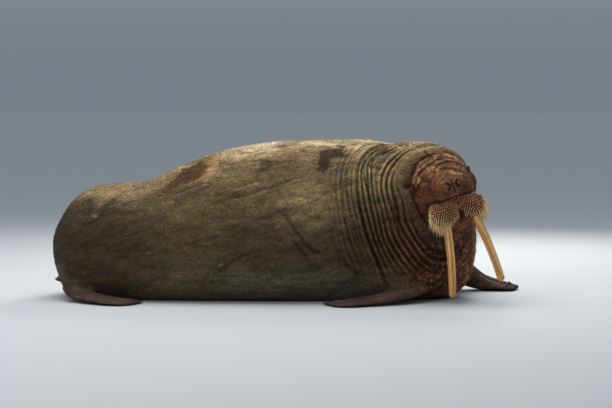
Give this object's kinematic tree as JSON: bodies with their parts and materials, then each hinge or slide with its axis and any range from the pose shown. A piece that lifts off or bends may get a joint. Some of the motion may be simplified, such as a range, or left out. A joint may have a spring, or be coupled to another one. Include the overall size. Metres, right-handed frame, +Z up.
{
  "type": "walrus",
  "caption": "Life-size model of an adult tusked walrus that rests on its belly with its head turned to its right side, whole to the flippers, as a museum shows one",
  "frame": {"origin": "on the flat of the belly, at floor level, under the body", "axes": "+X runs along the body from the rump to the chest, +Y is the animal's left side, +Z is up"},
  "size_m": [2.8405, 1.3646, 0.945],
  "materials": {
    "hide": "thick creased hide with very short flat hair, olive brown, tan along the back, dark grey-brown at the belly",
    "face_hide": "wrinkled red-brown hide of the face, with short hair",
    "flipper_hide": "bare dark brown hide of the flippers, rough and dry",
    "whiskers": "pads thick with stiff straw-coloured bristles",
    "ivory": "worn ivory, stained yellow and orange, with fine lengthwise cracks",
    "eye": "wet, nearly black eye"
  },
  "bodies": {
    "root": {"rump": "hide", "torso": "hide", "chest": "hide", "neck": "hide", "tail": "hide", "head": "face_hide", "lower_jaw": "face_hide", "whisker_pad_left": "whiskers", "whisker_pad_right": "whiskers", "tusk_left": "ivory", "tusk_right": "ivory", "eye_left": "eye", "eye_right": "eye", "foreflipper_left": "flipper_hide", "foreflipper_right": "flipper_hide", "hindflipper_left": "flipper_hide", "hindflipper_right": "flipper_hide"}
  },
  "joints": []
}
